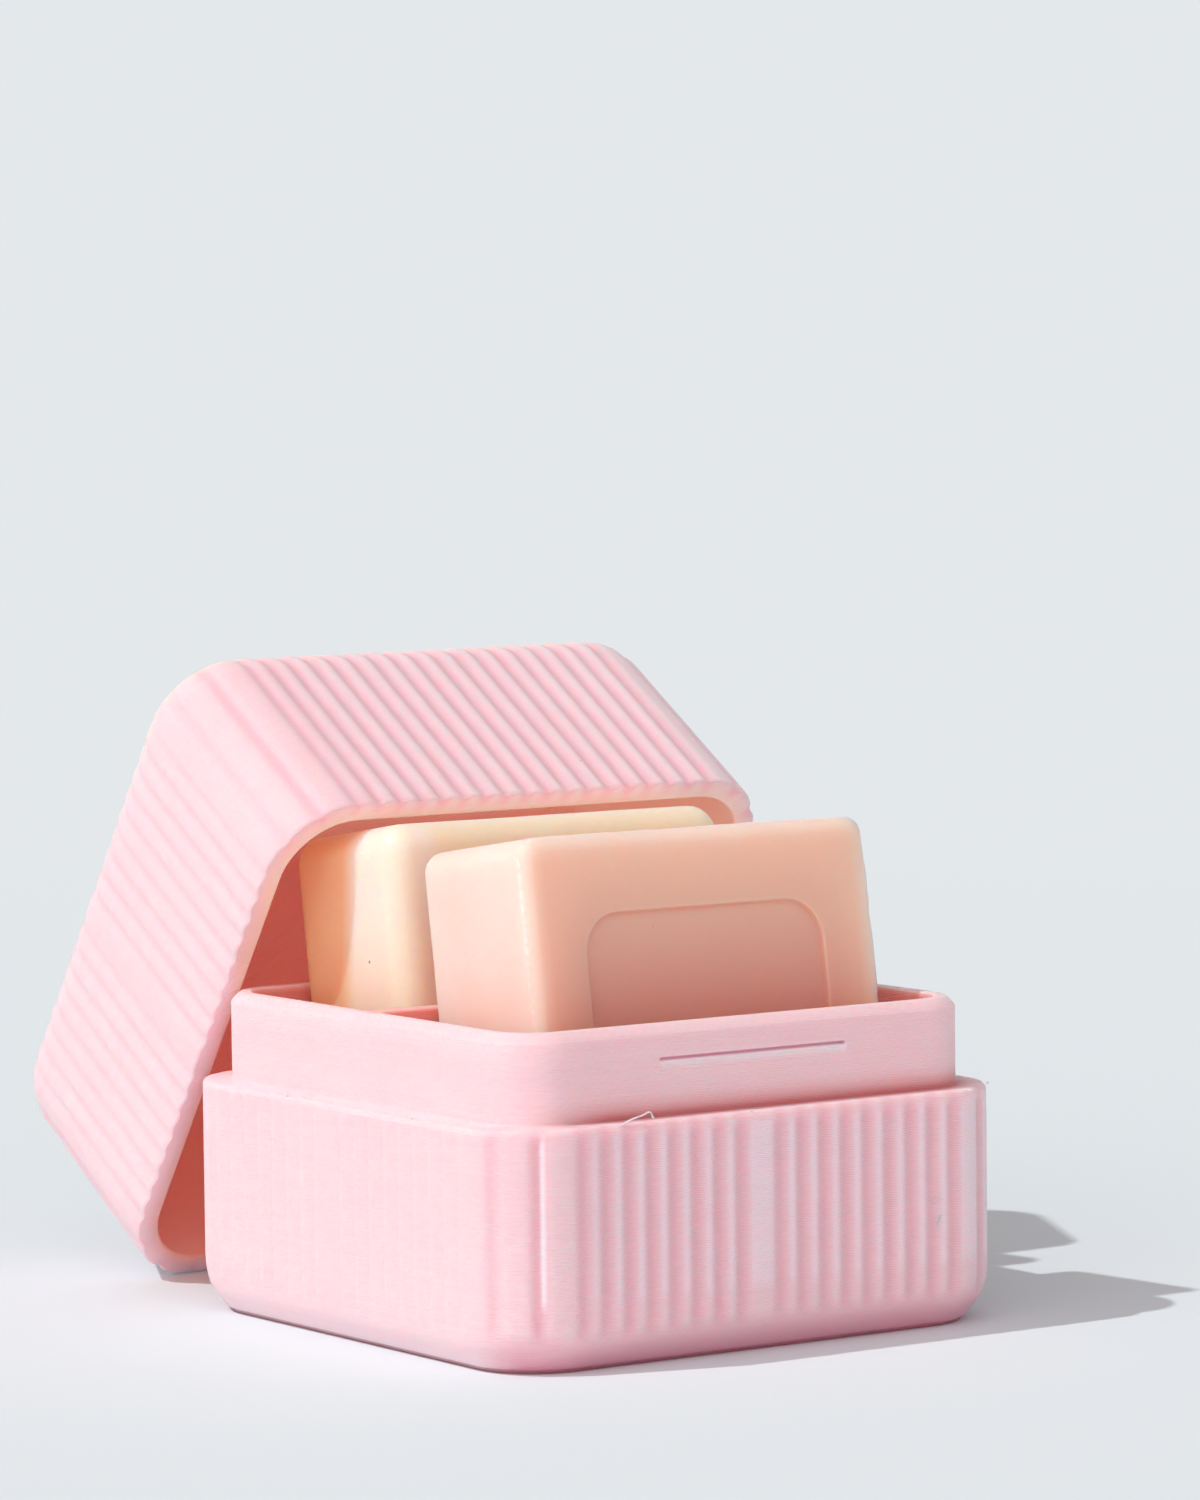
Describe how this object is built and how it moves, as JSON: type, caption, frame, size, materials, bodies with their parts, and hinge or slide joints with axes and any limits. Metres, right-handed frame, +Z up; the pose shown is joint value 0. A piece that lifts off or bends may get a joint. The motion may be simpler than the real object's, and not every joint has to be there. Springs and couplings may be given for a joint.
{
  "type": "shampoo bar case",
  "caption": "Square ribbed shampoo bar case: a divided tub with a raised snap-fit neck, a lift-off lid leaning behind it, and soap bars standing tilted in the compartments.",
  "frame": {"origin": "the middle of the tub's flat underside, on the surface that the case stands on", "axes": "+Z up; -Y out of the tub's front, the right-hand face in the picture; +Y to the back, where the lid leans; +X to the tub's right seen from its front"},
  "size_m": [0.0919, 0.1421, 0.0906],
  "materials": {
    "tub": "pale pink printed plastic, matte, with fine layer lines",
    "lid": "pale pink printed plastic, matte, with fine layer lines",
    "front_bar": "blush soap, waxy and slightly translucent",
    "rear_bar": "cream soap, waxy and slightly translucent"
  },
  "bodies": {
    "tub": {"tub": "tub"},
    "lid": {"lid": "lid"},
    "front_bar": {"front_bar": "front_bar"},
    "rear_bar": {"rear_bar": "rear_bar"}
  },
  "joints": [
    {"name": "lid_pull_away", "type": "slide", "parent": "tub", "child": "lid", "axis": [-0.0214, 0.8379, 0.5454], "range_m": [0, 0.07]},
    {"name": "front_bar_lift", "type": "slide", "parent": "tub", "child": "front_bar", "axis": [0, 0.1524, 0.9883], "range_m": [0, 0.055]},
    {"name": "rear_bar_play", "type": "slide", "parent": "tub", "child": "rear_bar", "axis": [1, 0, 0], "range_m": [-0.0035, 0.0025]}
  ]
}
